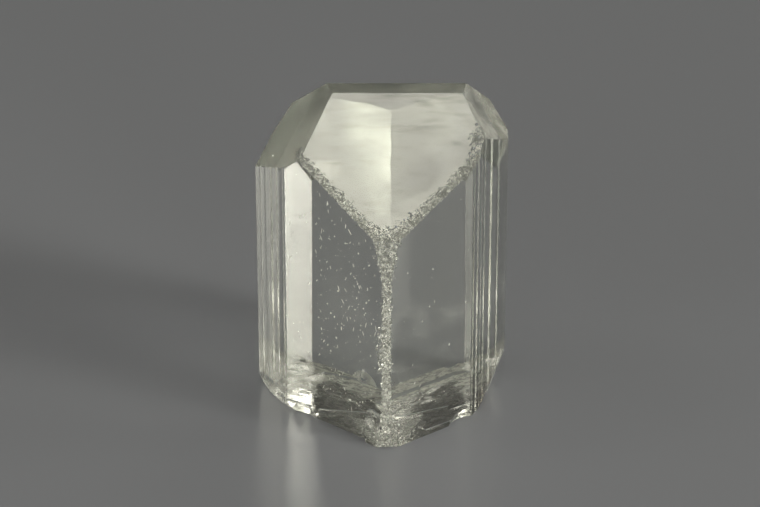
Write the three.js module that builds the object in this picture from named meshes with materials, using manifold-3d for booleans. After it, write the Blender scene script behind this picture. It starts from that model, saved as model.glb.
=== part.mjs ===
// A clear topaz crystal, stout and flat-faced, that stands on its own broken base.
// Units are millimetres. +Z runs up the prism, and the front edge of the prism looks towards -Y.
// The crystal is laid out from the foot of its ideal front edge: x to the right, y into the depth.
import * as THREE from "three";
import { mergeVertices } from "three/addons/utils/BufferGeometryUtils.js";
import Module from "manifold-3d";

const wasm = await Module();
wasm.setup();

// Main sizes of the crystal
const HEIGHT = 23.0;
const LEFT_REACH = 9.35;
const RIGHT_REACH = 8.7;
const DEPTH = 21.0;
const BACK_EDGE_SHIFT = 0.33;
const FRONT_EDGE_HEIGHT = 15.0;
const ROOF_RISE = 38.2;
const BACK_ROOF_RISE = 44.0;
const CAP_DEPTH = 2.1;

// What etching has taken off: the front edge down to a narrow face, and the tip above it to a steep one
const WORN_EDGE_DEPTH = 0.26;
const WORN_TIP_FOOT = 12.7;
const WORN_TIP_RISE = 80.5;

// Directions of the upright faces, as turns away from the front or the back, in degrees.
// Each back prism face is parallel to the front one across from it.
const LEFT_PRISM_TURN = 43.8;
const RIGHT_PRISM_TURN = 41.8;
const LEFT_SIDE_TURN = 63.0;
const RIGHT_SIDE_TURN = 66.0;
const BACK_SIDE_TURN = 61.0;

// Half widths at which the prism faces give way to the striated side faces
const LEFT_PRISM_WIDTH = 7.14;
const RIGHT_PRISM_WIDTH = 6.01;

// Where the outermost upright strips end and the back side faces begin
const LEFT_FLANK_DEPTH = 11.3;
const RIGHT_FLANK_DEPTH = 14.1;

// Side roof faces: turn from the front, rise, and half width at the cap's front edge
const LEFT_ROOF = { turn: 78.5, rise: 48.5, width: 3.82 };
const RIGHT_ROOF = { turn: 82.0, rise: 51.7, width: 5.37 };

// Faces broken off round the foot: turn, rise (over 90 leans under the crystal) and a place at the base
const BROKEN_FACES = [
  { turn: 76, rise: 108, x: 7.35, y: 9.6 },
  { turn: 100, rise: 104, x: 7.75, y: 14.2 },
  { turn: -72, rise: 112, x: -8.35, y: 9.1 },
  { turn: -52, rise: 132, x: -8.1, y: 8.5 },
  { turn: 4, rise: 156, x: 0, y: 0.75 },
];

// Shallow ledges of the cleaved base: middle, width, depth, height and turn
const BASE_LEDGES = [
  { x: -3.6, y: 3.0, width: 5.2, depth: 1.6, height: 0.26, turn: -LEFT_PRISM_TURN },
  { x: -4.4, y: 16.4, width: 9.0, depth: 4.6, height: 0.3, turn: LEFT_PRISM_TURN },
  { x: 6.6, y: 13.0, width: 6.0, depth: 3.0, height: 0.4, turn: RIGHT_PRISM_TURN },
  { x: 2.2, y: 18.9, width: 5.0, depth: 2.2, height: 0.2, turn: -8 },
];

// Growth lines of a side face: distance from its front corner, width, and whether the line is nicked deeper
const LEFT_LINES = [
  { at: 0.25, width: 0.55, nicked: true },
  { at: 1.25, width: 0.5 },
  { at: 2.15, width: 0.7 },
  { at: 3.25, width: 0.45 },
  { at: 4.0, width: 0.6 },
];
const RIGHT_LINES = [
  { at: 0.35, width: 0.5 },
  { at: 1.1, width: 0.6, nicked: true },
  { at: 2.3, width: 0.45 },
  { at: 3.5, width: 0.7 },
  { at: 4.9, width: 0.5 },
];
const BACK_LINES = [
  { at: 0.5, width: 0.5 },
  { at: 1.5, width: 0.8 },
  { at: 2.7, width: 0.5 },
];
const GROOVE_DEPTH = 0.13;
const NICKED_GROOVE_DEPTH = 0.24;

// Etch pits: how many lie along each worn edge, and their smallest and largest half widths
const EDGE_PITS = 76;
const FOOT_PITS = 26;
const FUNNEL_PITS = 30;
const ARM_PITS = 34;
const CORNER_PITS = 20;
const FINE_PIT = { small: 0.12, large: 0.32 };
const COARSE_PIT = { small: 0.14, large: 0.38 };

const UP = new THREE.Vector3(0, 0, 1);
const FAR = 80;
const degrees = THREE.MathUtils.degToRad;
const tangent = (angle) => Math.tan(degrees(angle));

// Tools for solids
function toSolid(geometry) {
  geometry.deleteAttribute("normal");
  geometry.deleteAttribute("uv");
  const merged = mergeVertices(geometry, 1e-5);
  return new wasm.Manifold(
    new wasm.Mesh({
      numProp: 3,
      vertProperties: merged.attributes.position.array,
      triVerts: new Uint32Array(merged.index.array),
    }),
  );
}

function toGeometry(solid) {
  const mesh = solid.getMesh();
  const geometry = new THREE.BufferGeometry();
  geometry.setAttribute("position", new THREE.BufferAttribute(mesh.vertProperties, 3));
  geometry.setIndex(new THREE.BufferAttribute(mesh.triVerts, 1));
  return geometry;
}

// A repeatable source of numbers from 0 to 1, so that every build is the same crystal.
function numberSource(seed) {
  let state = seed;
  return () => {
    state = (state * 1664525 + 1013904223) % 4294967296;
    return state / 4294967296;
  };
}

// Outward direction of a face: its turn from the front (-Y) towards +X, and how far it leans up.
function faceNormal(turn, rise) {
  const lean = degrees(90 - rise);
  return new THREE.Vector3(
    Math.sin(degrees(turn)) * Math.cos(lean),
    -Math.cos(degrees(turn)) * Math.cos(lean),
    Math.sin(lean),
  );
}

// Everything on the outer side of a face, as one big block.
function outsideOf(normal, point) {
  const block = new THREE.BoxGeometry(FAR, FAR, FAR);
  block.translate(0, 0, FAR / 2);
  block.applyQuaternion(new THREE.Quaternion().setFromUnitVectors(UP, normal));
  block.translate(point.x, point.y, point.z);
  return toSolid(block);
}

function cutFace(solid, turn, rise, x, y, z) {
  return solid.subtract(outsideOf(faceNormal(turn, rise), new THREE.Vector3(x, y, z)));
}

// Depth at which the front prism faces stand, for a given place across the crystal
function frontPrismDepth(x) {
  return Math.abs(x) * tangent(x < 0 ? LEFT_PRISM_TURN : RIGHT_PRISM_TURN);
}

const CAP_FRONT = (HEIGHT - FRONT_EDGE_HEIGHT) / tangent(ROOF_RISE);
const CAP_BACK = CAP_FRONT + CAP_DEPTH;
const LEFT_CORNER = { x: -LEFT_PRISM_WIDTH, y: frontPrismDepth(-LEFT_PRISM_WIDTH) };
const RIGHT_CORNER = { x: RIGHT_PRISM_WIDTH, y: frontPrismDepth(RIGHT_PRISM_WIDTH) };

// The upright faces, all round the prism
function uprightFaces(solid) {
  const upright = (body, turn, x, y) => cutFace(body, turn, 90, x, y, 0);
  let body = upright(solid, -LEFT_PRISM_TURN, 0, 0);
  body = upright(body, RIGHT_PRISM_TURN, 0, 0);
  body = upright(body, -LEFT_SIDE_TURN, LEFT_CORNER.x, LEFT_CORNER.y);
  body = upright(body, RIGHT_SIDE_TURN, RIGHT_CORNER.x, RIGHT_CORNER.y);
  body = upright(body, -90, -LEFT_REACH, 0);
  body = upright(body, 90, RIGHT_REACH, 0);
  body = upright(body, BACK_SIDE_TURN - 180, -LEFT_REACH, LEFT_FLANK_DEPTH);
  body = upright(body, 180 - BACK_SIDE_TURN, RIGHT_REACH, RIGHT_FLANK_DEPTH);
  body = upright(body, RIGHT_PRISM_TURN - 180, BACK_EDGE_SHIFT, DEPTH);
  return upright(body, 180 - LEFT_PRISM_TURN, BACK_EDGE_SHIFT, DEPTH);
}

// The slanting faces of the roof and the narrow flat cap between them
function roofFaces(solid) {
  let body = cutFace(solid, 0, 0, 0, 0, HEIGHT);
  body = cutFace(body, 0, ROOF_RISE, 0, 0, FRONT_EDGE_HEIGHT);
  body = cutFace(body, 180, BACK_ROOF_RISE, 0, CAP_BACK, HEIGHT);
  body = cutFace(body, -LEFT_ROOF.turn, LEFT_ROOF.rise, -LEFT_ROOF.width, CAP_FRONT, HEIGHT);
  return cutFace(body, RIGHT_ROOF.turn, RIGHT_ROOF.rise, RIGHT_ROOF.width, CAP_FRONT, HEIGHT);
}

// The narrow faces that etching has left of the front edge and of the tip above it
function wornFaces(solid) {
  const body = cutFace(solid, 0, 90, 0, WORN_EDGE_DEPTH, 0);
  return cutFace(body, 0, WORN_TIP_RISE, 0, WORN_EDGE_DEPTH, WORN_TIP_FOOT);
}

// The lower corners, broken away to slanting faces, and the chipped foot of the front edge
function brokenFoot(solid) {
  const breakOff = (body, face) => cutFace(body, face.turn, face.rise, face.x, face.y, 0);
  return BROKEN_FACES.reduce(breakOff, solid);
}

// The base is a cleavage that runs in shallow ledges: flat blocks taken off from below
function baseLedges(solid) {
  const takeOff = (body, ledge) => {
    const block = new THREE.BoxGeometry(ledge.width, ledge.depth, 2 * ledge.height);
    block.rotateZ(degrees(ledge.turn));
    block.translate(ledge.x, ledge.y, 0);
    return body.subtract(toSolid(block));
  };
  return BASE_LEDGES.reduce(takeOff, solid);
}

// One upright groove: a long three-sided bar let into a side face
function upGroove(solid, x, y, turn, width, depth) {
  const outline = new THREE.Shape();
  outline.moveTo(-width / 2, depth);
  outline.lineTo(width / 2, depth);
  outline.lineTo(width * 0.12, -depth);
  outline.closePath();
  const bar = new THREE.ExtrudeGeometry(outline, { depth: HEIGHT + 4, bevelEnabled: false });
  bar.translate(0, 0, -2);
  bar.rotateZ(degrees(180 + turn));
  bar.translate(x, y, 0);
  return solid.subtract(toSolid(bar));
}

// Growth lines of one side face: a row of grooves that starts at a corner and runs round to the flank
function sideGrooves(solid, corner, turn, side, lines) {
  const alongX = side * Math.cos(degrees(turn));
  const alongY = Math.sin(degrees(turn));
  const cutLine = (body, line) => {
    const depth = line.nicked ? NICKED_GROOVE_DEPTH : GROOVE_DEPTH;
    const x = corner.x + alongX * line.at;
    const y = corner.y + alongY * line.at;
    return upGroove(body, x, y, side * turn, line.width, depth);
  };
  return lines.reduce(cutLine, solid);
}

function growthLines(solid) {
  let body = sideGrooves(solid, LEFT_CORNER, LEFT_SIDE_TURN, -1, LEFT_LINES);
  body = sideGrooves(body, RIGHT_CORNER, RIGHT_SIDE_TURN, 1, RIGHT_LINES);
  const backLeft = { x: -LEFT_REACH, y: LEFT_FLANK_DEPTH };
  const backRight = { x: RIGHT_REACH, y: RIGHT_FLANK_DEPTH };
  body = sideGrooves(body, backLeft, 180 - BACK_SIDE_TURN, -1, BACK_LINES);
  return sideGrooves(body, backRight, 180 - BACK_SIDE_TURN, 1, BACK_LINES);
}

// One etch pit: a small rough-sided hollow, longer along the prism than across it
function etchPit(centre, size, stretch, random) {
  const pit = new THREE.IcosahedronGeometry(size, 0);
  pit.rotateX(random() * Math.PI);
  pit.rotateY(random() * Math.PI);
  pit.scale(1, 1, stretch);
  pit.rotateY((random() - 0.5) * 0.6);
  pit.translate(centre.x, centre.y, centre.z);
  return toSolid(pit);
}

// Depth of the crystal's front surface behind a place seen from straight ahead
function frontDepth(x, z) {
  const roof = (z - FRONT_EDGE_HEIGHT) / tangent(ROOF_RISE);
  const tip = WORN_EDGE_DEPTH + (z - WORN_TIP_FOOT) / tangent(WORN_TIP_RISE);
  return Math.max(frontPrismDepth(x), roof, tip, WORN_EDGE_DEPTH);
}

// Pits scattered over the front surface beside a line, given as places seen from straight ahead.
// The reach on both sides of the line changes evenly from its one end to the other.
function etchAlong(solid, from, to, count, sizes, seed) {
  const random = numberSource(seed);
  const lerp = THREE.MathUtils.lerp;
  let body = solid;
  for (let i = 0; i < count; i++) {
    const t = (i + random()) / count;
    const reach = lerp(from.reach, to.reach, t);
    const x = lerp(from.x, to.x, t) + (random() + random() - 1) * reach;
    const z = lerp(from.z, to.z, t) + (random() - 0.5) * reach;
    const size = lerp(sizes.small, sizes.large, random() * random());
    const centre = new THREE.Vector3(x, frontDepth(x, z) + (random() - 0.5) * size * 0.5, z);
    body = body.subtract(etchPit(centre, size, 1 + random() * 0.8, random));
  }
  return body;
}

// A place on the lower edge of the front roof face, at this x
function roofEdge(x, reach) {
  return { x, z: FRONT_EDGE_HEIGHT + frontPrismDepth(x) * tangent(ROOF_RISE), reach };
}

// The etched zones: down the front edge, out along both lower edges of the roof, and at its corners
function etchedZones(solid) {
  const foot = { x: 0, z: 0.5, reach: 0.42 };
  const throat = { x: 0, z: WORN_TIP_FOOT, reach: 0.28 };
  const crown = { x: 0, z: FRONT_EDGE_HEIGHT + 0.6, reach: 0.8 };
  const armRoot = { ...crown, reach: 0.7 };
  const leftEnd = roofEdge(-6.3, 0.35);
  const rightEnd = roofEdge(5.8, 0.35);
  const leftShoulder = { x: -6.9, z: leftEnd.z + 0.2, reach: 0.2 };
  const rightShoulder = { x: 6.4, z: rightEnd.z + 2.0, reach: 0.3 };
  const footBroad = { x: 0, z: 0.3, reach: 1.2 };
  const footTop = { x: 0, z: 2.4, reach: 0.5 };
  let body = etchAlong(solid, foot, throat, EDGE_PITS, COARSE_PIT, 11);
  body = etchAlong(body, footBroad, footTop, FOOT_PITS, FINE_PIT, 17);
  body = etchAlong(body, throat, crown, FUNNEL_PITS, COARSE_PIT, 23);
  body = etchAlong(body, armRoot, leftEnd, ARM_PITS, FINE_PIT, 37);
  body = etchAlong(body, armRoot, rightEnd, ARM_PITS, FINE_PIT, 41);
  body = etchAlong(body, rightEnd, rightShoulder, CORNER_PITS, FINE_PIT, 53);
  return etchAlong(body, leftEnd, leftShoulder, CORNER_PITS / 2, FINE_PIT, 61);
}

// The crystal itself, without any crumb that the etching set free
function withoutCrumbs(solid) {
  const bodies = solid.decompose();
  return bodies.reduce((most, body) => (body.volume() > most.volume() ? body : most));
}

// The rough block that the faces are cut from, larger than the crystal on every side but its base
function roughBlock() {
  const block = new THREE.BoxGeometry(40, 60, HEIGHT + 10);
  block.translate(0, 20, (HEIGHT + 10) / 2);
  return toSolid(block);
}

function crystalSolid() {
  let body = uprightFaces(roughBlock());
  body = roofFaces(body);
  body = wornFaces(body);
  body = growthLines(body);
  body = brokenFoot(body);
  body = baseLedges(body);
  return withoutCrumbs(etchedZones(body));
}

// The finished crystal, moved so that the middle of its footprint stands over the origin
function topazCrystal() {
  const geometry = toGeometry(crystalSolid());
  geometry.computeBoundingBox();
  const box = geometry.boundingBox;
  geometry.translate(-(box.min.x + box.max.x) / 2, -(box.min.y + box.max.y) / 2, -box.min.z);
  const topaz = new THREE.MeshStandardMaterial({ color: 0xe6ebe0, roughness: 0.06, metalness: 0 });
  topaz.transparent = true;
  topaz.opacity = 0.35;
  const mesh = new THREE.Mesh(geometry, topaz);
  mesh.name = "topaz_crystal";
  return mesh;
}

const part = new THREE.Group();
part.add(topazCrystal());

export default part;
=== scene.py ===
"""A clear topaz crystal with flat faces and etched edges, on a pale floor in soft studio light."""

import logging
import math
import random
from dataclasses import dataclass, field
from enum import Enum

import bpy
from mathutils import Matrix, Vector


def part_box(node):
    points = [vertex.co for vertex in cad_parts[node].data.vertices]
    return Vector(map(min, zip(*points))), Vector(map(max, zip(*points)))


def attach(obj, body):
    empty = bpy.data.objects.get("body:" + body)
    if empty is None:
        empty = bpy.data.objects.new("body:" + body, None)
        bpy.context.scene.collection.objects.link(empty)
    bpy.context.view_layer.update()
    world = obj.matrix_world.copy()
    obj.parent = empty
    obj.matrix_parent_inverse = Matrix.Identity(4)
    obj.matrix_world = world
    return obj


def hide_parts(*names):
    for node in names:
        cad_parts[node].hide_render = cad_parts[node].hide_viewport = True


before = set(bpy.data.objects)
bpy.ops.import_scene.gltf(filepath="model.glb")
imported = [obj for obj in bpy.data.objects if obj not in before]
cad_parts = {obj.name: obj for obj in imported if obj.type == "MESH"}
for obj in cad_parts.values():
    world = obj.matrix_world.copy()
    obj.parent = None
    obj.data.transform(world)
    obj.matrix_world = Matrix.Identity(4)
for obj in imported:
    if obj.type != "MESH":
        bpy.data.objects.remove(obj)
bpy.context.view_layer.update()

NODE = "topaz_crystal"
MM = 0.001
MERGE_DISTANCE = 1e-5
Colour = tuple[float, float, float, float]
Triple = tuple[float, float, float]
Span = tuple[float, float]
Piece = bpy.types.Object
log = logging.getLogger("topaz")


class Side(Enum):
    """The two sides of the crystal as the camera sees them, with the sign of x there."""

    LEFT = -1
    RIGHT = 1


def tangent(angle: float) -> float:
    """Tangent of an angle in degrees."""
    return math.tan(math.radians(angle))


def between(low: float, high: float, share: float) -> float:
    """The number a share of the way from low to high."""
    return low + (high - low) * share


def face_normal(turn: float, rise: float) -> Vector:
    """Outward direction of a crystal face.

    Args:
        turn: Degrees from the front (-Y) round towards +X.
        rise: Degrees above the level; 90 is upright, over 90 leans under the crystal.

    Returns:
        The unit normal.
    """
    lean = math.radians(90 - rise)
    across = math.radians(turn)
    return Vector((math.sin(across) * math.cos(lean), -math.cos(across) * math.cos(lean), math.sin(lean)))


@dataclass(frozen=True)
class Face:
    """One flat face of the crystal: its direction and a place on it, in millimetres."""

    turn: float
    rise: float
    x: float
    y: float
    z: float = 0.0

    def normal(self) -> Vector:
        """Outward direction of the face."""
        return face_normal(self.turn, self.rise)

    def place(self) -> Vector:
        """The place on the face."""
        return Vector((self.x, self.y, self.z))


@dataclass(frozen=True)
class GrowthLine:
    """An upright groove on a side face: distance from the face's corner, width and depth."""

    at: float
    width: float
    depth: float = 0.13


@dataclass(frozen=True)
class Ledge:
    """A shallow block broken off the cleaved base: middle, width, depth, height and turn."""

    x: float
    y: float
    width: float
    depth: float
    height: float
    turn: float


@dataclass
class CrystalForm:
    """Sizes of the crystal in millimetres.

    The layout starts at the foot of the ideal front edge: x to the right, y into the depth, z up.
    """

    height: float = field(init=False)
    shift: Vector = field(init=False)
    left_reach: float = 9.35
    right_reach: float = 8.7
    depth: float = 21.0
    back_edge_shift: float = 0.33
    front_edge_height: float = 15.0
    roof_rise: float = 38.2
    back_roof_rise: float = 44.0
    cap_depth: float = 2.1
    left_prism_turn: float = 43.8
    right_prism_turn: float = 41.8
    left_side_turn: float = 63.0
    right_side_turn: float = 66.0
    back_side_turn: float = 61.0
    left_prism_width: float = 7.14
    right_prism_width: float = 6.01
    left_flank_depth: float = 11.3
    right_flank_depth: float = 14.1
    left_roof: Triple = (78.5, 48.5, 3.82)
    right_roof: Triple = (82.0, 51.7, 5.37)
    worn_edge_depth: float = 0.26
    worn_tip_foot: float = 12.7
    worn_tip_rise: float = 80.5

    def __post_init__(self) -> None:
        """Takes the outer sizes and the place in the frame from the CAD box."""
        low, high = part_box(NODE)
        self.height = (high.z - low.z) / MM
        self.shift = Vector((low.x / MM + self.left_reach, high.y / MM - self.depth, low.z / MM))

    @property
    def cap_front(self) -> float:
        """Depth of the front edge of the flat cap."""
        return (self.height - self.front_edge_height) / tangent(self.roof_rise)

    @property
    def cap_back(self) -> float:
        """Depth of the back edge of the flat cap."""
        return self.cap_front + self.cap_depth

    def front_prism_depth(self, x: float) -> float:
        """Depth of the front prism faces at this place across the crystal."""
        return abs(x) * tangent(self.left_prism_turn if x < 0 else self.right_prism_turn)

    def roof_edge(self, x: float) -> float:
        """Height of the lower edge of the front roof face at this place across the crystal."""
        return self.front_edge_height + self.front_prism_depth(x) * tangent(self.roof_rise)

    def front_depth(self, x: float, z: float) -> float:
        """Depth of the front surface behind a place seen from straight ahead.

        Args:
            x: Place across the crystal.
            z: Height.

        Returns:
            The depth.
        """
        roof = (z - self.front_edge_height) / tangent(self.roof_rise)
        tip = self.worn_edge_depth + (z - self.worn_tip_foot) / tangent(self.worn_tip_rise)
        return max(self.front_prism_depth(x), roof, tip, self.worn_edge_depth)

    def corner(self, side: Side) -> Vector:
        """Foot of the upright corner where a front prism face gives way to its striated side face."""
        x = -self.left_prism_width if side is Side.LEFT else self.right_prism_width
        return Vector((x, self.front_prism_depth(x), 0))

    def side_turn(self, side: Side) -> float:
        """Turn of a striated side face away from the front."""
        return self.left_side_turn if side is Side.LEFT else self.right_side_turn

    def faces(self) -> list[Face]:
        """The flat faces: upright ones, roof, worn edge and tip, and those broken off round the foot.

        Returns:
            The faces in the order of cutting.
        """
        left, right = self.corner(Side.LEFT), self.corner(Side.RIGHT)
        left_turn, left_rise, left_width = self.left_roof
        right_turn, right_rise, right_width = self.right_roof
        return [
            Face(-self.left_prism_turn, 90, 0, 0),
            Face(self.right_prism_turn, 90, 0, 0),
            Face(-self.left_side_turn, 90, left.x, left.y),
            Face(self.right_side_turn, 90, right.x, right.y),
            Face(self.back_side_turn - 180, 90, -self.left_reach, self.left_flank_depth),
            Face(180 - self.back_side_turn, 90, self.right_reach, self.right_flank_depth),
            Face(self.right_prism_turn - 180, 90, self.back_edge_shift, self.depth),
            Face(180 - self.left_prism_turn, 90, self.back_edge_shift, self.depth),
            Face(0, self.roof_rise, 0, 0, self.front_edge_height),
            Face(180, self.back_roof_rise, 0, self.cap_back, self.height),
            Face(-left_turn, left_rise, -left_width, self.cap_front, self.height),
            Face(right_turn, right_rise, right_width, self.cap_front, self.height),
            Face(0, 90, 0, self.worn_edge_depth),
            Face(0, self.worn_tip_rise, 0, self.worn_edge_depth, self.worn_tip_foot),
            Face(76, 108, 7.35, 9.6),
            Face(100, 104, 7.75, 14.2),
            Face(-72, 112, -8.35, 9.1),
            Face(-52, 132, -8.1, 8.5),
            Face(4, 156, 0, 0.75),
        ]


class Bench:
    """Modelling steps that every piece shares."""

    @staticmethod
    def select(*objects: Piece) -> None:
        """Selects these objects alone, with the first one active.

        Args:
            objects: The objects.
        """
        bpy.ops.object.select_all(action="DESELECT")
        for item in objects:
            item.select_set(True)
        bpy.context.view_layer.objects.active = objects[0]

    @staticmethod
    def added() -> Piece:
        """The primitive that was added last, with its place and size in its mesh."""
        bpy.ops.object.transform_apply(location=True, rotation=True, scale=True)
        return bpy.context.object

    @classmethod
    def slice_off(cls, piece: Piece, face: Face) -> None:
        """Cuts a piece along a face, takes the outer part away and closes the cut.

        Args:
            piece: The piece.
            face: The face.
        """
        cls.select(piece)
        bpy.ops.object.mode_set(mode="EDIT")
        bpy.ops.mesh.select_all(action="SELECT")
        bpy.ops.mesh.bisect(
            plane_co=face.place(),
            plane_no=face.normal(),
            use_fill=True,
            clear_outer=True,
            threshold=MERGE_DISTANCE,
        )
        bpy.ops.object.mode_set(mode="OBJECT")

    @classmethod
    def apply(cls, piece: Piece, kind: str, **settings: object) -> None:
        """Adds a modifier with these settings to a piece and applies it.

        Args:
            piece: The piece.
            kind: The modifier's type.
            settings: Its settings.
        """
        modifier = piece.modifiers.new(kind.title(), kind)
        for name, value in settings.items():
            setattr(modifier, name, value)
        cls.select(piece)
        bpy.ops.object.modifier_apply(modifier=modifier.name)

    @classmethod
    def joined(cls, tools: list[Piece]) -> Piece:
        """Joins several objects in one.

        Args:
            tools: The objects.

        Returns:
            The first of them, with the others in it.
        """
        cls.select(*tools)
        if len(tools) > 1:
            bpy.ops.object.join()
        return bpy.context.view_layer.objects.active

    @classmethod
    def carve(cls, piece: Piece, tools: list[Piece]) -> None:
        """Takes the tools' shapes out of a piece and deletes the tools.

        Args:
            piece: The piece.
            tools: Closed shapes that don't touch each other.
        """
        tool = cls.joined(tools)
        cls.apply(piece, "BOOLEAN", operation="DIFFERENCE", solver="MANIFOLD", object=tool)
        cls.delete(tool)

    @staticmethod
    def delete(item: Piece) -> None:
        """Deletes an object and its mesh.

        Args:
            item: The object.
        """
        mesh = item.data
        bpy.data.objects.remove(item)
        bpy.data.meshes.remove(mesh)

    @staticmethod
    def copy(pattern: Piece, matrix: Matrix) -> Piece:
        """Copies a pattern, with a mesh of its own.

        Args:
            pattern: The object.
            matrix: Sets the copy in place.

        Returns:
            The copy.
        """
        item = pattern.copy()
        item.data = pattern.data.copy()
        item.data.transform(matrix)
        bpy.context.collection.objects.link(item)
        return item

    @classmethod
    def into_frame(cls, piece: Piece, form: CrystalForm) -> None:
        """Brings a finished piece from its millimetre layout to its place in the frame, in metres.

        Args:
            piece: The piece.
            form: Sizes and place of the crystal.
        """
        cls.select(piece)
        piece.scale = (MM, MM, MM)
        piece.location = form.shift * MM
        bpy.ops.object.transform_apply(location=True, rotation=True, scale=True)

    @staticmethod
    def dress(piece: Piece, material: bpy.types.Material) -> None:
        """Gives a piece this one material, in place of the empty slots that the Booleans leave."""
        piece.data.materials.clear()
        piece.data.materials.append(material)


@dataclass(frozen=True)
class Chip:
    """A shell-shaped chip: its middle, the direction it looks in as for a face, and its half width."""

    x: float
    y: float
    z: float
    turn: float
    rise: float
    reach: float


@dataclass(frozen=True)
class FractureWave:
    """One scale of the rough fracture surface: size of its hollows, their detail and their height."""

    size: float
    detail: int
    height: float


@dataclass(frozen=True)
class EtchLine:
    """Etch pits along a line on the front surface, given as x and z seen from straight ahead.

    The reach is how far the pits stray to either side at each end, and the sizes are half widths.
    """

    start: tuple[float, float]
    end: tuple[float, float]
    count: int
    start_reach: float
    end_reach: float
    small: float
    large: float
    seed: int


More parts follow.
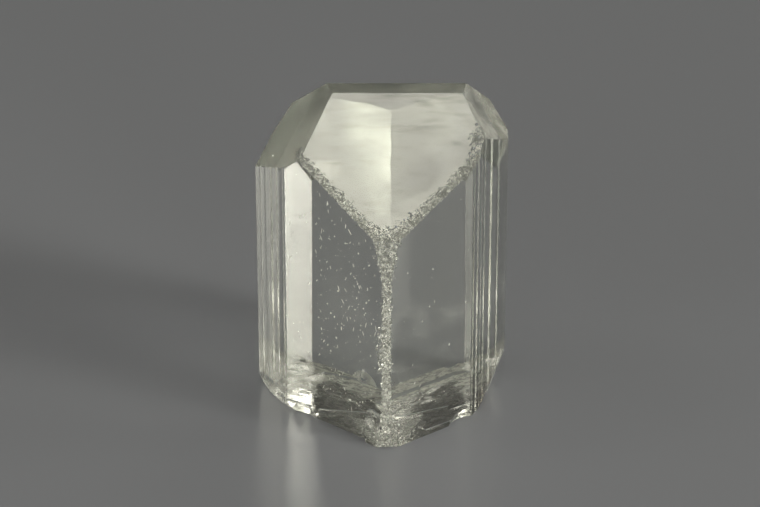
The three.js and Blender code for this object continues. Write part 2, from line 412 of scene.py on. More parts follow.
@dataclass
class TopazCrystal:
    """The crystal: one clear solid with flat faces, growth lines and etched, worn edges."""

    form: CrystalForm
    name: str = "clear_topaz_crystal"
    edge_wear: float = 0.06
    wear_segments: int = 3
    wear_angle: float = 8.0
    foot_rounding: float = 0.9
    foot_segments: int = 5
    upright: float = 0.1
    steep: float = 0.8
    bar_margin: float = 4.0
    apex_shift: float = 0.12
    fracture_grid: tuple[int, int] = (64, 72)
    fracture_waves: tuple[FractureWave, ...] = (FractureWave(2.6, 1, 0.34), FractureWave(0.8, 3, 0.16))
    fracture_level: float = 0.56
    block_margin: float = 2.0
    block_depth: float = 1.0
    chip_shells: tuple[Span, ...] = ((1.0, 0.16), (0.62, 0.2))
    chip_subdivisions: int = 6
    pit_batches: int = 12
    pit_sinking: float = 0.5
    pit_stretch: float = 0.9
    pit_lean: float = 0.7
    left_lines: tuple[GrowthLine, ...] = (
        GrowthLine(0.25, 0.55, 0.24),
        GrowthLine(1.25, 0.5),
        GrowthLine(2.15, 0.7),
        GrowthLine(2.75, 0.18, 0.05),
        GrowthLine(3.25, 0.45),
        GrowthLine(4.0, 0.6),
    )
    right_lines: tuple[GrowthLine, ...] = (
        GrowthLine(0.35, 0.5),
        GrowthLine(1.1, 0.6, 0.24),
        GrowthLine(1.7, 0.22, 0.06),
        GrowthLine(2.3, 0.45),
        GrowthLine(3.5, 0.7),
        GrowthLine(4.9, 0.5),
    )
    back_lines: tuple[GrowthLine, ...] = (
        GrowthLine(0.5, 0.5),
        GrowthLine(1.0, 0.18, 0.05),
        GrowthLine(1.5, 0.8),
        GrowthLine(2.15, 0.2, 0.05),
        GrowthLine(2.7, 0.5),
    )
    piece: Piece = field(init=False, default=None)

    def build(self) -> Piece:
        """Models the crystal step by step.

        Returns:
            The finished piece, in its place in the frame.
        """
        self.cut_from_block()
        self.round_foot()
        self.wear_edges()
        self.cut_growth_lines()
        self.break_base()
        self.etch()
        Bench.into_frame(self.piece, self.form)
        return self.piece

    def cut_from_block(self) -> None:
        """Cuts the flat faces from a block of the crystal's outer size."""
        form = self.form
        width = form.left_reach + form.right_reach
        middle = ((form.right_reach - form.left_reach) / 2, form.depth / 2, form.height / 2)
        bpy.ops.mesh.primitive_cube_add(size=1, location=middle, scale=(width, form.depth, form.height))
        self.piece = Bench.added()
        self.piece.name = self.name
        self.piece.data.name = self.name
        for face in form.faces():
            Bench.slice_off(self.piece, face)

    def round_foot(self) -> None:
        """Rounds the edges between the upright faces and the faces broken off below them."""
        mesh = self.piece.data
        upward: dict[tuple[int, int], list[float]] = {}
        for polygon in mesh.polygons:
            for key in polygon.edge_keys:
                upward.setdefault(key, []).append(polygon.normal.z)
        Bench.select(self.piece)
        bpy.ops.object.mode_set(mode="EDIT")
        bpy.ops.mesh.select_all(action="DESELECT")
        bpy.ops.object.mode_set(mode="OBJECT")
        for edge in mesh.edges:
            low, high = sorted(upward[edge.key])
            edge.select = -self.steep < low < -self.upright and abs(high) < self.upright
        bpy.ops.object.mode_set(mode="EDIT")
        bpy.ops.mesh.select_mode(type="EDGE")
        bpy.ops.mesh.bevel(offset=self.foot_rounding, segments=self.foot_segments, clamp_overlap=True)
        bpy.ops.object.mode_set(mode="OBJECT")

    def wear_edges(self) -> None:
        """Rounds off every edge a little, as handling and growth leave it."""
        Bench.apply(
            self.piece,
            "BEVEL",
            width=self.edge_wear,
            segments=self.wear_segments,
            limit_method="ANGLE",
            angle_limit=math.radians(self.wear_angle),
        )

    def groove_pattern(self) -> Piece:
        """A three-sided upright bar, one unit wide and deep, that growth lines are cut with.

        Returns:
            The bar.
        """
        bpy.ops.mesh.primitive_cylinder_add(vertices=3, radius=1, depth=self.form.height + self.bar_margin)
        bar = Bench.added()
        tip = max(bar.data.vertices, key=lambda vertex: abs(vertex.co.y)).co.y
        turn = Matrix.Identity(4) if tip < 0 else Matrix.Rotation(math.pi, 4, "Z")
        bar.data.transform(Matrix.Diagonal((1 / math.sqrt(3), 4 / 3, 1, 1)) @ turn)
        bar.data.transform(Matrix.Translation((0, 1 / 3, self.form.height / 2)))
        for vertex in bar.data.vertices:
            vertex.select = vertex.co.y < 0
        Bench.select(bar)
        bpy.ops.object.mode_set(mode="EDIT")
        bpy.ops.transform.translate(value=(self.apex_shift, 0, 0))
        bpy.ops.object.mode_set(mode="OBJECT")
        return bar

    def groove_row(
        self,
        pattern: Piece,
        corner: Vector,
        turn: float,
        side: Side,
        lines: tuple[GrowthLine, ...],
    ) -> None:
        """Cuts a row of growth lines along one side face.

        Args:
            pattern: The bar that the lines are cut with.
            corner: Foot of the corner that the row starts from.
            turn: Turn of the face away from the front.
            side: Which side of the crystal the face is on.
            lines: The growth lines.
        """
        along = Vector((side.value * math.cos(math.radians(turn)), math.sin(math.radians(turn)), 0))
        rotation = Matrix.Rotation(math.radians(180 + side.value * turn), 4, "Z")
        for first in (0, 1):
            bars = []
            for line in lines[first::2]:
                size = Matrix.Diagonal((line.width, line.depth, 1, 1))
                place = Matrix.Translation(corner + along * line.at)
                bars.append(Bench.copy(pattern, place @ rotation @ size))
            Bench.carve(self.piece, bars)

    def cut_growth_lines(self) -> None:
        """Cuts the upright growth lines of the four striated sides."""
        form = self.form
        pattern = self.groove_pattern()
        for side, lines in ((Side.LEFT, self.left_lines), (Side.RIGHT, self.right_lines)):
            self.groove_row(pattern, form.corner(side), form.side_turn(side), side, lines)
        back = 180 - form.back_side_turn
        left_flank = Vector((-form.left_reach, form.left_flank_depth, 0))
        right_flank = Vector((form.right_reach, form.right_flank_depth, 0))
        self.groove_row(pattern, left_flank, back, Side.LEFT, self.back_lines)
        self.groove_row(pattern, right_flank, back, Side.RIGHT, self.back_lines)
        Bench.delete(pattern)

    def ledges(self) -> list[Ledge]:
        """The shallow ledges that the cleavage of the base runs in.

        Returns:
            The ledges.
        """
        form = self.form
        return [
            Ledge(-3.6, 3.0, 5.2, 1.6, 0.26, -form.left_prism_turn),
            Ledge(-4.4, 16.4, 9.0, 4.6, 0.3, form.left_prism_turn),
            Ledge(6.6, 13.0, 6.0, 3.0, 0.4, form.right_prism_turn),
            Ledge(2.2, 18.9, 5.0, 2.2, 0.2, -8),
            Ledge(3.4, 5.4, 3.6, 1.1, 0.09, 38),
            Ledge(-0.6, 9.6, 6.4, 1.7, 0.06, 12),
            Ledge(-5.2, 10.4, 3.2, 2.6, 0.08, -20),
            Ledge(2.9, 10.9, 2.2, 4.4, 0.05, 31),
        ]

    def break_base(self) -> None:
        """Takes the cleavage ledges, the rough hollows and the shell-shaped chips off the base."""
        for ledge in self.ledges():
            place = (ledge.x, ledge.y, 0)
            size = (ledge.width, ledge.depth, 2 * ledge.height)
            turn = (0, 0, math.radians(ledge.turn))
            bpy.ops.mesh.primitive_cube_add(size=1, location=place, rotation=turn, scale=size)
            Bench.carve(self.piece, [Bench.added()])
        self.roughen_base()
        for chip in self.chips():
            self.chip_out(chip)

    def chips(self) -> list[Chip]:
        """The shell-shaped chips: one on the left prism face, the others round the foot.

        Returns:
            The chips.
        """
        form = self.form
        front_x = -0.95
        return [
            Chip(front_x, form.front_prism_depth(front_x), 2.05, -form.left_prism_turn, 90, 0.78),
            Chip(-5.6, 5.5, 0.5, -50, 112, 0.9),
            Chip(5.2, 4.9, 0.3, 46, 116, 0.8),
            Chip(7.6, 12.2, 0.6, 90, 110, 1.1),
            Chip(-4.6, 16.9, 0.4, -138, 110, 1.2),
            Chip(4.2, 17.3, 0.5, 136, 108, 1.0),
        ]

    def roughen_base(self) -> None:
        """Breaks shallow hollows in the base with a block whose top is a rough fracture surface."""
        form = self.form
        across, along = self.fracture_grid
        bpy.ops.mesh.primitive_grid_add(x_subdivisions=across, y_subdivisions=along, size=1)
        block = bpy.context.object
        margin = self.block_margin
        block.scale = (form.left_reach + form.right_reach + margin, form.depth + margin, 1)
        block.location = ((form.right_reach - form.left_reach) / 2, form.depth / 2, 0)
        block = Bench.added()
        for wave in self.fracture_waves:
            cloud = bpy.data.textures.new("fracture", "CLOUDS")
            cloud.noise_scale = wave.size
            cloud.noise_depth = wave.detail
            Bench.apply(
                block,
                "DISPLACE",
                texture=cloud,
                strength=wave.height,
                mid_level=self.fracture_level,
                texture_coords="GLOBAL",
            )
        Bench.select(block)
        bpy.ops.object.mode_set(mode="EDIT")
        bpy.ops.mesh.select_all(action="SELECT")
        bpy.ops.mesh.extrude_region_move(TRANSFORM_OT_translate={"value": (0, 0, -self.block_depth)})
        bpy.ops.mesh.select_all(action="SELECT")
        bpy.ops.mesh.normals_make_consistent(inside=False)
        bpy.ops.object.mode_set(mode="OBJECT")
        Bench.carve(self.piece, [block])

    def chip_out(self, chip: Chip) -> None:
        """Takes out a shell-shaped chip, as one wide hollow with a smaller one in its middle.

        Args:
            chip: The chip.
        """
        place = Vector((chip.x, chip.y, chip.z))
        normal = face_normal(chip.turn, chip.rise)
        for share, sink in self.chip_shells:
            half = chip.reach * share
            radius = (half * half + sink * sink) / (2 * sink)
            middle = place + normal * (radius - sink)
            rounds = self.chip_subdivisions
            bpy.ops.mesh.primitive_ico_sphere_add(subdivisions=rounds, radius=radius, location=middle)
            Bench.carve(self.piece, [Bench.added()])

    def etch_lines(self) -> list[EtchLine]:
        """The lines that etching has worn, and sparse nicks along the two upright front corners.

        Returns:
            Lines on the front edge, the roof's lower edges, two corners and the roof, then the nicks.
        """
        form = self.form
        nick_left, nick_right = -form.left_prism_width, form.right_prism_width
        nick_left_top = (nick_left, form.roof_edge(nick_left) - 0.4)
        nick_right_top = (nick_right, form.roof_edge(nick_right) - 0.4)
        throat = (0.0, form.worn_tip_foot)
        crown = (0.0, form.front_edge_height + 0.6)
        left_x, right_x = -6.3, 5.8
        left_end = (left_x, form.roof_edge(left_x))
        right_end = (right_x, form.roof_edge(right_x))
        right_top = (6.5, right_end[1] + 2.4)
        left_top = (-7.0, left_end[1] + 0.3)
        return [
            EtchLine((0.0, 0.5), throat, 420, 0.46, 0.32, 0.04, 0.2, 11),
            EtchLine((0.0, 0.2), (0.0, 2.6), 200, 1.5, 0.45, 0.04, 0.2, 17),
            EtchLine((-0.42, 5.8), (-0.4, 9.4), 90, 0.34, 0.36, 0.04, 0.18, 19),
            EtchLine(throat, crown, 280, 0.32, 1.1, 0.03, 0.15, 23),
            EtchLine(crown, left_end, 150, 0.9, 0.3, 0.03, 0.1, 37),
            EtchLine(crown, right_end, 190, 0.9, 0.4, 0.03, 0.13, 41),
            EtchLine(right_end, right_top, 120, 0.5, 0.35, 0.04, 0.15, 53),
            EtchLine(left_end, left_top, 50, 0.4, 0.3, 0.03, 0.1, 61),
            EtchLine((-3.6, 20.0), (4.6, 20.4), 70, 2.6, 2.2, 0.02, 0.06, 67),
            EtchLine((nick_left, 2.2), nick_left_top, 44, 0.05, 0.05, 0.03, 0.1, 71),
            EtchLine((nick_right, 1.6), nick_right_top, 44, 0.05, 0.05, 0.03, 0.09, 73),
        ]

    def pit_matrix(self, line: EtchLine, share: float, dice: random.Random) -> Matrix:
        """Place, size and turn of one etch pit.

        Args:
            line: The line that it lies on.
            share: How far along the line it lies.
            dice: The line's random numbers.

        Returns:
            The matrix.
        """
        reach = between(line.start_reach, line.end_reach, share)
        x = between(line.start[0], line.end[0], share) + (dice.random() + dice.random() - 1) * reach
        z = between(line.start[1], line.end[1], share) + (dice.random() - 0.5) * reach
        size = between(line.small, line.large, dice.random() * dice.random())
        y = self.form.front_depth(x, z) + (dice.random() - 0.5) * size * self.pit_sinking
        roll = Matrix.Rotation(dice.random() * math.pi, 4, "X")
        spin = Matrix.Rotation(dice.random() * math.pi, 4, "Y")
        stretch = Matrix.Diagonal((size, size, size * (1 + dice.random() * self.pit_stretch), 1))
        lean = Matrix.Rotation((dice.random() - 0.5) * self.pit_lean, 4, "Y")
        return Matrix.Translation((x, y, z)) @ lean @ stretch @ (roll @ spin)

    def etch(self) -> None:
        """Cuts the etch pits, in batches whose pits stand clear of each other."""
        bpy.ops.mesh.primitive_ico_sphere_add(subdivisions=1, radius=1)
        pattern = Bench.added()
        for line in self.etch_lines():
            dice = random.Random(line.seed)
            batches: list[list[Piece]] = [[] for _ in range(self.pit_batches)]
            for index in range(line.count):
                share = (index + dice.random()) / line.count
                pit = Bench.copy(pattern, self.pit_matrix(line, share, dice))
                batches[index % self.pit_batches].append(pit)
            for batch in batches:
                Bench.carve(self.piece, batch)
        Bench.delete(pattern)


@dataclass(frozen=True)
class SpeckField:
    """Specks scattered over a part of the front: x limits and lowest z, seen from straight ahead."""

    x_low: float
    x_high: float
    z_low: float
    count: int
    dash_share: float
    seed: int


@dataclass
class SurfaceSpecks:
    """Pale specks and short scratches, joined in one piece, at the depth of the front prism faces."""

    form: CrystalForm
    name: str = "surface_specks"
    fields: tuple[SpeckField, ...] = (
        SpeckField(-5.0, -0.6, 2.0, 240, 0.25, 5),
        SpeckField(-8.4, -5.0, 2.0, 26, 0.3, 6),
        SpeckField(0.7, 5.8, 2.0, 40, 0.15, 7),
    )
    width: Span = (0.018, 0.05)
    dash_length: Span = (0.08, 0.26)
    thickness: float = 0.012
    round_stretch: Span = (1.0, 1.8)
    slant: Span = (0.1, 0.7)
    edge_gap: float = 0.7

    def speck_matrix(self, area: SpeckField, dice: random.Random) -> Matrix:
        """Place, size and turn of one speck, in the plane of a front prism face.

        Args:
            area: The field that it lies in.
            dice: The field's random numbers.

        Returns:
            The matrix.
        """
        form = self.form
        x = between(area.x_low, area.x_high, dice.random())
        z = between(area.z_low, form.roof_edge(x) - self.edge_gap, dice.random())
        width = between(*self.width, dice.random() ** 2)
        if dice.random() < area.dash_share:
            length = between(*self.dash_length, dice.random() ** 2)
        else:
            length = width * between(*self.round_stretch, dice.random())
        turn = -form.left_prism_turn if x < 0 else form.right_prism_turn
        upright = Matrix.Rotation(math.radians(turn), 4, "Z")
        slant = Matrix.Rotation(dice.choice((-1, 1)) * between(*self.slant, dice.random()), 4, "Y")
        size = Matrix.Diagonal((width, self.thickness, length, 1))
        return Matrix.Translation((x, form.front_prism_depth(x), z)) @ upright @ slant @ size

    def build(self) -> Piece:
        """Scatters the specks and joins them.

        Returns:
            The finished piece, in its place in the frame.
        """
        bpy.ops.mesh.primitive_ico_sphere_add(subdivisions=1, radius=1)
        pattern = Bench.added()
        specks = []
        for area in self.fields:
            dice = random.Random(area.seed)
            specks += [Bench.copy(pattern, self.speck_matrix(area, dice)) for _ in range(area.count)]
        Bench.delete(pattern)
        piece = Bench.joined(specks)
        piece.name = self.name
        piece.data.name = self.name
        Bench.into_frame(piece, self.form)
        return piece


@dataclass(frozen=True)
class Grain:
    """A cloudy noise: features per unit of place, detail, roughness, and the limits of its patches."""

    scale: float
    detail: float = 2
    roughness: float = 0.5
    limit: Span = (0.0, 1.0)


class Socket:
    """A shader value that takes part in Python arithmetic by adding Math nodes."""

    def __init__(self, desk: "ShaderDesk", output: bpy.types.NodeSocket) -> None:
        """Wraps an output socket of a node tree."""
        self.desk = desk
        self.output = output

    def __add__(self, other: "Socket | float") -> "Socket":
        """Sum."""
        return self.desk.maths("ADD", self, other)

    def __sub__(self, other: "Socket | float") -> "Socket":
        """Difference."""
        return self.desk.maths("SUBTRACT", self, other)

    def __rsub__(self, other: float) -> "Socket":
        """Difference from a number."""
        return self.desk.maths("SUBTRACT", other, self)

    def __mul__(self, other: "Socket | float") -> "Socket":
        """Product."""
        return self.desk.maths("MULTIPLY", self, other)

    def __abs__(self) -> "Socket":
        """Size without the sign."""
        return self.desk.maths("ABSOLUTE", self)

    __radd__ = __add__

    def at_least(self, other: "Socket | float") -> "Socket":
        """The larger of two values."""
        return self.desk.maths("MAXIMUM", self, other)

    def ramp(self, start: float, end: float) -> "Socket":
        """Rises smoothly from 0 at start to 1 at end, or falls where start is the larger."""
        inputs = {"Value": self, "From Min": start, "From Max": end}
        return self.desk.value("MapRange", {"interpolation_type": "SMOOTHSTEP"}, inputs)

    def blend(self, first: object, second: object) -> "Socket":
        """The colour this share of the way from the first to the second."""
        return self.desk.value("Mix", {"data_type": "RGBA"}, {"Factor": self, 6: first, 7: second}, 2)


Zones = dict[str, Socket]


class ShaderDesk:
    """Adds nodes to one node tree."""

    def __init__(self, owner: bpy.types.Material | bpy.types.World) -> None:
        """Clears the nodes.

        Args:
            owner: The material or world that the nodes belong to.
        """
        owner.use_nodes = True
        self.tree = owner.node_tree
        self.tree.nodes.clear()

    def node(self, kind: str, settings: dict, inputs: dict) -> bpy.types.Node:
        """Adds a node.

        Args:
            kind: The node's type, without the words Shader and Node.
            settings: The node's own settings, set first.
            inputs: Values or links of its sockets, by name or number.

        Returns:
            The node.
        """
        made = self.tree.nodes.new("ShaderNode" + kind)
        for name, value in settings.items():
            setattr(made, name, value)
        for name, value in inputs.items():
            if isinstance(value, Socket):
                self.tree.links.new(value.output, made.inputs[name])
            elif isinstance(value, bpy.types.NodeSocket):
                self.tree.links.new(value, made.inputs[name])
            else:
                made.inputs[name].default_value = value
        return made

    def value(self, kind: str, settings: dict, inputs: dict, output: str | int = 0) -> Socket:
        """Adds a node and returns one of its outputs."""
        return Socket(self, self.node(kind, settings, inputs).outputs[output])

    def maths(self, operation: str, *values: "Socket | float") -> Socket:
        """Adds a Math node on these values."""
        return self.value("Math", {"operation": operation}, dict(enumerate(values)))

    def noise(self, place: Socket, grain: Grain) -> Socket:
        """Cloudy noise from 0 to 1."""
        inputs = {"Vector": place, "Scale": grain.scale, "Detail": grain.detail, "Roughness": grain.roughness}
        return self.value("TexNoise", {}, inputs, "Fac")


@dataclass(frozen=True)
class SurfacePoint:
    """Shader values at a point of the surface: its place in the layout, in millimetres, and its normal."""

    desk: ShaderDesk
    place: Socket
    x: Socket
    y: Socket
    z: Socket
    across: Socket
    away: Socket
    upward: Socket

    @classmethod
    def make(cls, desk: ShaderDesk, shift: Vector) -> "SurfacePoint":
        """Reads the place and the normal.

        Args:
            desk: The node desk.
            shift: Where the layout starts in the frame, in millimetres.

        Returns:
            The point.
        """
        coordinates = desk.value("TexCoord", {}, {}, "Object")
        layout = {"Vector": coordinates, "Location": tuple(-shift), "Scale": (1 / MM, 1 / MM, 1 / MM)}
        place = desk.value("Mapping", {"vector_type": "POINT"}, layout)
        split = desk.node("SeparateXYZ", {}, {0: place})
        normal = desk.node("SeparateXYZ", {}, {0: desk.value("NewGeometry", {}, {}, "Normal")})
        return cls(desk, place, *(Socket(desk, output) for output in (*split.outputs, *normal.outputs)))

    def noise(self, grain: Grain) -> Socket:
        """Cloudy noise from 0 to 1."""
        return self.desk.noise(self.place, grain)

    def streaks(self, stretch: Triple, grain: Grain) -> Socket:
        """Cloudy noise drawn out along the axes."""
        place = self.desk.value("VectorMath", {"operation": "MULTIPLY"}, {0: self.place, 1: stretch})
        return self.desk.noise(place, grain)

    def patches(self, grain: Grain) -> Socket:
        """Patches of a noise: 0 below its limits, 1 above them."""
        return self.noise(grain).ramp(*grain.limit)


@dataclass(frozen=True)
class Patch:
    """A soft patch of the surface round a place in the layout."""

    middle: Triple
    reach: float

    def share(self, point: SurfacePoint) -> Socket:
        """1 in the middle of the patch, 0 beyond its reach."""
        ends = {0: point.place, 1: self.middle}
        return point.desk.value("VectorMath", {"operation": "DISTANCE"}, ends, "Value").ramp(self.reach, 0.0)


@dataclass(frozen=True)
class EtchZones:
    """The etched zones: the front edge, the lower edges of the roof face and two upper corners.

    Each pair gives where a zone starts and where it is full, in millimetres.
    """

    form: CrystalForm
    front: Span = (7.6, 7.2)
    edge: Span = (0.7, 0.0)
    edge_top: Span = (17.2, 15.2)
    tip_widening: float = 0.2
    foot_widening: float = 0.5
    foot_top: float = 1.0
    arm_middle: float = 0.1
    arm: Span = (1.0, 0.0)
    arm_end: Span = (7.0, 6.4)
    arm_foot: Span = (-0.2, -0.1)
    right_corner: Patch = Patch((6.3, 7.0, 20.9), 1.3)
    left_corner: Patch = Patch((-6.5, 6.4, 19.9), 1.0)
    ragged: Grain = Grain(2.6, 3, 0.6)
    ragged_swing: float = 0.9
    edge_raggedness: float = 0.7
    speckle: Grain = Grain(4.5, 2, 0.7)
    speckle_swing: float = 2.4
    limit: Span = (0.6, 0.75)

    def share(self, point: SurfacePoint) -> Socket:
        """1 where the surface is etched, 0 elsewhere, with a speckled border.

        Args:
            point: The point of the surface.

        Returns:
            The share.
        """
        ragged = (point.noise(self.ragged) - 0.5) * self.ragged_swing
        speckle = (point.noise(self.speckle) - 0.5) * self.speckle_swing
        along = self.along_edge(point, ragged).at_least(self.along_arms(point)) * point.y.ramp(*self.front)
        corners = self.right_corner.share(point).at_least(self.left_corner.share(point))
        return (along.at_least(corners) + speckle).ramp(*self.limit)

    def along_edge(self, point: SurfacePoint, ragged: Socket) -> Socket:
        """Closeness to the front edge, in a strip that widens at the tip and at the foot.

        Args:
            point: The point of the surface.
            ragged: Swing of the border.

        Returns:
            The share.
        """
        tip = (point.z - self.form.worn_tip_foot).at_least(0.0) * self.tip_widening
        foot = (self.foot_top - point.z).at_least(0.0) * self.foot_widening
        aside = abs(point.x) - (tip + foot) + ragged * self.edge_raggedness
        return aside.ramp(*self.edge) * (point.z + ragged).ramp(*self.edge_top)

    def along_arms(self, point: SurfacePoint) -> Socket:
        """Closeness to the lower edges of the front roof face, on its own side of them.

        Args:
            point: The point of the surface.

        Returns:
            The share.
        """
        form = self.form
        left_slope = tangent(form.left_prism_turn) * tangent(form.roof_rise)
        right_slope = tangent(form.right_prism_turn) * tangent(form.roof_rise)
        on_left = point.desk.maths("LESS_THAN", point.x, 0.0)
        slope = on_left * (left_slope - right_slope) + right_slope
        above = point.z - form.front_edge_height - abs(point.x) * slope
        near = abs(above - self.arm_middle).ramp(*self.arm)
        return near * abs(point.x).ramp(*self.arm_end) * above.ramp(*self.arm_foot)


@dataclass(frozen=True)
class FineRelief:
    """Fine relief of the surface: its heights are in shares of a full height in millimetres."""

    full_height: float = 0.03
    etch_cells: float = 4.2
    etch_grain: Grain = Grain(6.0, 3, 0.7)
    etch_level: float = 0.9
    etch_height: float = 4.4
    fracture: Grain = Grain(2.2, 4, 0.6)
    fracture_height: float = 3.0
    line_stretch: Triple = (3.2, 3.2, 0.04)
    line_height: float = 0.03
    side_line_height: float = 0.05
    swell: Grain = Grain(0.35)
    swell_height: float = 0.35
    wave_stretch: Triple = (0.4, 0.8, 0.8)
    wave: Grain = Grain(1.0, 2, 0.4)
    wave_height: float = 1.4

    def bump(self, point: SurfacePoint, zones: Zones) -> Socket:
        """The normal that the relief gives.

        Args:
            point: The point of the surface.
            zones: Shares of the etched, broken, side and roof zones.

        Returns:
            The bumped normal.
        """
        lines = point.streaks(self.line_stretch, Grain(1.0))
        waves = point.streaks(self.wave_stretch, self.wave)
        cell_inputs = {"Vector": point.place, "Scale": self.etch_cells}
        cells = point.desk.value("TexVoronoi", {"feature": "F1"}, cell_inputs, "Distance")
        etching = (cells + point.noise(self.etch_grain) - self.etch_level) * self.etch_height
        height = (
            zones["etched"] * etching
            + zones["broken"] * point.noise(self.fracture) * self.fracture_height
            + zones["side"] * lines * self.side_line_height
            + lines * self.line_height
            + point.noise(self.swell) * self.swell_height
            + zones["roof"] * waves * self.wave_height
        )
        inputs = {"Height": height, "Distance": self.full_height * MM, "Strength": 1.0}
        return point.desk.value("Bump", {}, inputs)


@dataclass(frozen=True)
class ClearTopaz:
    """Finish of the crystal: clear and glossy, frosted where it is etched, with faint iron stains and dark
    grains of painted shade in the etch pits.

    Each pair gives where a zone starts and where it is full, in shares of a normal or in millimetres.
    """

    form: CrystalForm
    name: str = "clear_topaz"
    ior: float = 1.62
    clear: Colour = (0.985, 0.99, 0.975, 1)
    frosted: Colour = (0.95, 0.95, 0.93, 1)
    iron: Colour = (0.86, 0.62, 0.4, 1)
    absorbed: Colour = (0.8, 0.86, 0.72, 1)
    density: float = 12.0
    polish: float = 0.012
    frost: float = 0.12
    base_roughness: float = 0.22
    back_roughness: float = 0.11
    side_roughness: float = 0.07
    chalk: Colour = (0.95, 0.96, 0.9, 1)
    # Painted shade: the dark grey that stands for the shade in the etch pits.
    painted_pit_shade: Colour = (0.22, 0.23, 0.21, 1)
    chalk_roughness: float = 0.6
    chalk_share: float = 0.46
    broken_chalk_share: float = 0.56
    cloud_share: float = 0.03
    right_cloud_share: float = 0.4
    side_across: Span = (0.8, 0.87)
    side_roof_across: Span = (0.5, 0.6)
    side_roof_upward: Span = (0.4, 0.5)
    side_roof_height: Span = (8.0, 9.0)
    roof_upward: Span = (0.7, 0.74)
    roof_away: Span = (-0.5, -0.56)
    broken_upward: Span = (0.1, 0.2)
    broken_height: Span = (6.0, 5.0)
    veil_depth: Span = (6.2, 3.4)
    veil_grain: Grain = Grain(0.5, 4, 0.6)
    veil_swing: float = 9.0
    clear_base_share: float = 0.2
    back_depth: Span = (9.0, 12.0)
    stain: Patch = Patch((6.6, 8.2, 0.4), 2.6)
    stain_grain: Grain = Grain(1.4, 3, 0.5, (0.35, 0.6))
    # Patches of painted pit shade on the etched zones.
    pit_shade_grain: Grain = Grain(4.2, 2, 0.6, (0.43, 0.55))
    chalk_grain: Grain = Grain(5.0, 2, 0.7, (0.45, 0.54))
    patch_grain: Grain = Grain(1.3, 4, 0.7, (0.4, 0.58))
    cloud_grain: Grain = Grain(0.6, 3, 0.5, (0.3, 0.75))
    right_side: Span = (-0.5, 0.5)

    def broken(self, point: SurfacePoint) -> Socket:
        """Where the foot is broken: full in a veil near the back faces, weak elsewhere.

        Args:
            point: The point of the surface.

        Returns:
            The share.
        """
        form = self.form
        aside = abs(point.x - form.back_edge_shift)
        from_back = form.depth - point.y - aside * tangent(form.left_prism_turn)
        swing = (point.noise(self.veil_grain) - 0.5) * self.veil_swing
        veil = (from_back + swing).ramp(*self.veil_depth)
        low = abs(point.upward).ramp(*self.broken_upward) * point.z.ramp(*self.broken_height)
        return low * (veil * (1 - self.clear_base_share) + self.clear_base_share)

    def zones(self, point: SurfacePoint) -> Zones:
        """Shares of the etched, broken, side, side roof and front roof zones.

        Args:
            point: The point of the surface.

        Returns:
            The shares by name.
        """
        across, upward = abs(point.across), abs(point.upward)
        side_roof = across.ramp(*self.side_roof_across) * upward.ramp(*self.side_roof_upward)
        return {
            "etched": EtchZones(self.form).share(point),
            "broken": self.broken(point),
            "side": across.ramp(*self.side_across),
            "side roof": side_roof * point.z.ramp(*self.side_roof_height),
            "roof": point.upward.ramp(*self.roof_upward) * point.away.ramp(*self.roof_away),
        }

    def glass(self, point: SurfacePoint, zones: Zones, bump: Socket) -> Socket:
        """The clear crystal, rougher on its sides and back and where it is etched or broken.

        Args:
            point: The point of the surface.
            zones: Shares of the zones.
            bump: The bumped normal.

        Returns:
            The shader.
        """
        etched = zones["etched"]
        back = point.y.ramp(*self.back_depth)
        dull = etched * self.frost + zones["broken"] * self.base_roughness + back * self.back_roughness
        stain = self.stain.share(point) * point.patches(self.stain_grain)
        inputs = {
            "Base Color": stain.blend(etched.blend(self.clear, self.frosted), self.iron),
            "Roughness": dull + self.polish + zones["side"] * self.side_roughness,
            "IOR": self.ior,
            "Transmission Weight": 1.0,
            "Normal": bump,
        }
        return point.desk.value("BsdfPrincipled", {}, inputs)

    def make(self) -> bpy.types.Material:
        """Makes the material.

        Returns:
            The material, with plain transmission, IOR and absorption values.
        """
        material = bpy.data.materials.new(self.name)
        desk = ShaderDesk(material)
        point = SurfacePoint.make(desk, self.form.shift)
        zones = self.zones(point)
        bump = FineRelief().bump(point, zones)
        clear = self.glass(point, zones, bump)
        # Dark grains of painted shade in the etch pits, blended into the chalk tone; these patches also add
        # chalk grains.
        pits = point.patches(self.pit_shade_grain) * zones["etched"]
        tone = pits.blend(self.chalk, self.painted_pit_shade)
        chalk_inputs = {"Base Color": tone, "Roughness": self.chalk_roughness, "Normal": bump}
        chalk = desk.value("BsdfPrincipled", {}, chalk_inputs)
        grains = point.patches(self.chalk_grain).at_least(pits)
        etched_chalk = zones["etched"] * grains * self.chalk_share
        broken_chalk = zones["broken"] * point.patches(self.patch_grain) * self.broken_chalk_share
        right = point.across.ramp(*self.right_side)
        cloud = point.patches(self.cloud_grain) * (right * self.right_cloud_share + self.cloud_share)
        pale = etched_chalk.at_least(broken_chalk) + zones["side roof"] * cloud
        surface = desk.value("MixShader", {}, {0: pale, 1: clear, 2: chalk})
        inside = desk.value("VolumeAbsorption", {}, {"Color": self.absorbed, "Density": self.density})
        desk.node("OutputMaterial", {}, {"Surface": surface, "Volume": inside})
        return material


@dataclass(frozen=True)
class PaleSpeck:
    """Finish of the specks: chalky white, uneven from speck to speck."""

    name: str = "pale_speck"
    light: Colour = (0.9, 0.9, 0.86, 1)
    dull: Colour = (0.5, 0.5, 0.47, 1)
    grain: Grain = Grain(900.0, limit=(0.35, 0.65))
    roughness: float = 0.7
    roughness_swing: float = 0.3

    def make(self) -> bpy.types.Material:
        """Makes the material.

        Returns:
            The material.
        """
        material = bpy.data.materials.new(self.name)
        desk = ShaderDesk(material)
        patches = desk.noise(desk.value("TexCoord", {}, {}, "Object"), self.grain)
        colour = patches.ramp(*self.grain.limit).blend(self.dull, self.light)
        roughness = self.roughness - patches * self.roughness_swing
        shader = desk.value("BsdfPrincipled", {}, {"Base Color": colour, "Roughness": roughness})
        desk.node("OutputMaterial", {}, {"Surface": shader})
        return material


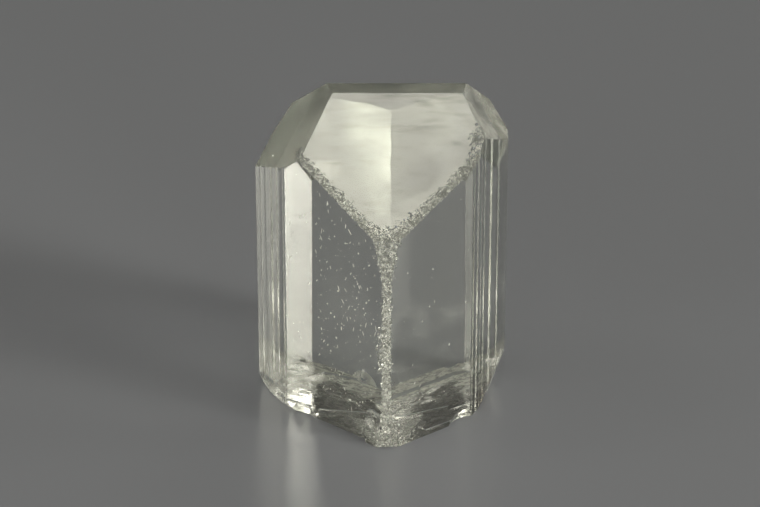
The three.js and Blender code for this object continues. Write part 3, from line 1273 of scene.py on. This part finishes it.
@dataclass(frozen=True)
class PaleFloor:
    """Finish of the studio floor: plain, light to middle grey and satin."""

    name: str = "pale_floor"
    tone: Colour = (0.36, 0.375, 0.415, 1)
    roughness: float = 0.25
    grain: Grain = Grain(60.0, 3)
    roughness_swing: float = 0.04

    def make(self) -> bpy.types.Material:
        """Makes the material.

        Returns:
            The material.
        """
        material = bpy.data.materials.new(self.name)
        desk = ShaderDesk(material)
        cloud = desk.noise(desk.value("TexCoord", {}, {}, "Object"), self.grain)
        roughness = self.roughness + (cloud - 0.5) * self.roughness_swing
        shader = desk.value("BsdfPrincipled", {}, {"Base Color": self.tone, "Roughness": roughness})
        desk.node("OutputMaterial", {}, {"Surface": shader})
        return material


@dataclass(frozen=True)
class SoftPanel:
    """A glowing panel of the studio dome with soft edges.

    Azimuth 0 is the crystal's right and 90 the far side, in degrees. Sharper panels are smaller.
    """

    azimuth: float
    elevation: float
    strength: float
    sharpness: float = 60.0

    def direction(self) -> Vector:
        """Where the panel stands."""
        turn, lift = math.radians(self.azimuth), math.radians(self.elevation)
        return Vector((math.cos(turn) * math.cos(lift), math.sin(turn) * math.cos(lift), math.sin(lift)))

    def glow(self, desk: ShaderDesk, view: Socket) -> Socket:
        """Brightness of the panel in the direction of view.

        Args:
            desk: The node desk.
            view: The direction of view.

        Returns:
            The brightness.
        """
        inputs = {0: view, 1: self.direction()}
        facing = desk.value("VectorMath", {"operation": "DOT_PRODUCT"}, inputs, "Value")
        return desk.maths("EXPONENT", (facing - 1.0) * self.sharpness) * self.strength


@dataclass
class Studio:
    """Pale floor, a dim dome with soft panels, and the camera."""

    floor_size: float = 3.0
    floor_gap: float = 0.05 * MM
    dome_colour: Colour = (1.0, 0.965, 0.86, 1)
    ambient: float = 0.02
    key: tuple[SoftPanel, ...] = (SoftPanel(330, 18, 26, 120), SoftPanel(0, 20, 6, 150))
    front: SoftPanel = SoftPanel(290, 6, 14, 150)
    overhead: SoftPanel = SoftPanel(270, 83, 5.5, 150)
    low_azimuths: tuple[float, ...] = (210, 225, 240, 255)
    low_elevation: float = 6.0
    low_strength: float = 6.0
    fill_azimuths: tuple[float, ...] = (60, 180, 300)
    fill_elevation: float = 45.0
    fill_strength: float = 1.5
    elevation: float = 22.5
    distance: float = 0.182
    target: Vector = field(default_factory=lambda: Vector((-0.000128, -0.005326, 0.012805)))
    half_width_pixels: float = 380.0
    focal_pixels: float = 2600.0
    sensor_width: float = 36.0
    most_bounces: int = 24

    def build(self) -> None:
        """Sets up the floor, the light and the camera."""
        self.lay_floor()
        self.light_dome()
        self.place_camera()
        scene = bpy.context.scene
        scene.cycles.max_bounces = self.most_bounces
        scene.cycles.transmission_bounces = self.most_bounces
        scene.cycles.glossy_bounces = self.most_bounces
        scene.view_settings.view_transform = "Standard"

    def lay_floor(self) -> None:
        """Adds the floor, a hair below the base, so that light passes between them."""
        bpy.ops.mesh.primitive_plane_add(size=self.floor_size, location=(0, 0, -self.floor_gap))
        floor = Bench.added()
        floor.name = "floor"
        Bench.dress(floor, PaleFloor().make())

    def panels(self) -> list[SoftPanel]:
        """All the panels: the key light, the front and overhead ones, a low row and the weak fill.

        Returns:
            The panels.
        """
        low = [SoftPanel(turn, self.low_elevation, self.low_strength) for turn in self.low_azimuths]
        fill = [SoftPanel(turn, self.fill_elevation, self.fill_strength) for turn in self.fill_azimuths]
        return [*self.key, self.front, self.overhead, *low, *fill]

    def light_dome(self) -> None:
        """Makes the dome round the crystal: dim, with the soft panels glowing in it."""
        world = bpy.data.worlds.new("studio")
        bpy.context.scene.world = world
        desk = ShaderDesk(world)
        view = desk.value("TexCoord", {}, {}, "Generated")
        strength = sum((panel.glow(desk, view) for panel in self.panels()), self.ambient)
        background = desk.node("Background", {}, {"Color": self.dome_colour, "Strength": strength})
        desk.node("OutputWorld", {}, {"Surface": background.outputs[0]})

    def place_camera(self) -> None:
        """Adds the camera at the photograph's viewing angle."""
        lift = math.radians(self.elevation)
        back = Vector((0, -math.cos(lift), math.sin(lift)))
        data = bpy.data.cameras.new("camera")
        data.sensor_width = self.sensor_width
        data.angle = 2 * math.atan(self.half_width_pixels / self.focal_pixels)
        camera = bpy.data.objects.new("camera", data)
        camera.location = self.target + back * self.distance
        camera.rotation_euler = (-back).to_track_quat("-Z", "Y").to_euler()
        bpy.context.scene.collection.objects.link(camera)
        bpy.context.scene.camera = camera


def report(piece: Piece) -> None:
    """Logs a finished piece.

    Args:
        piece: The piece.
    """
    piece.data.calc_loop_triangles()
    size = [round(edge / MM, 2) for edge in piece.dimensions]
    log.info("%s: %d triangles, %s mm", piece.name, len(piece.data.loop_triangles), size)


def main() -> None:
    """Builds the crystal, dresses it and sets up the studio."""
    logging.basicConfig(level=logging.INFO, format="%(name)s: %(message)s")
    form = CrystalForm()
    crystal = TopazCrystal(form).build()
    Bench.dress(crystal, ClearTopaz(form).make())
    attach(crystal, "root")
    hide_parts(NODE)
    report(crystal)
    specks = SurfaceSpecks(form).build()
    Bench.dress(specks, PaleSpeck().make())
    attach(specks, "root")
    report(specks)
    Studio().build()


if __name__ == "__main__":
    main()
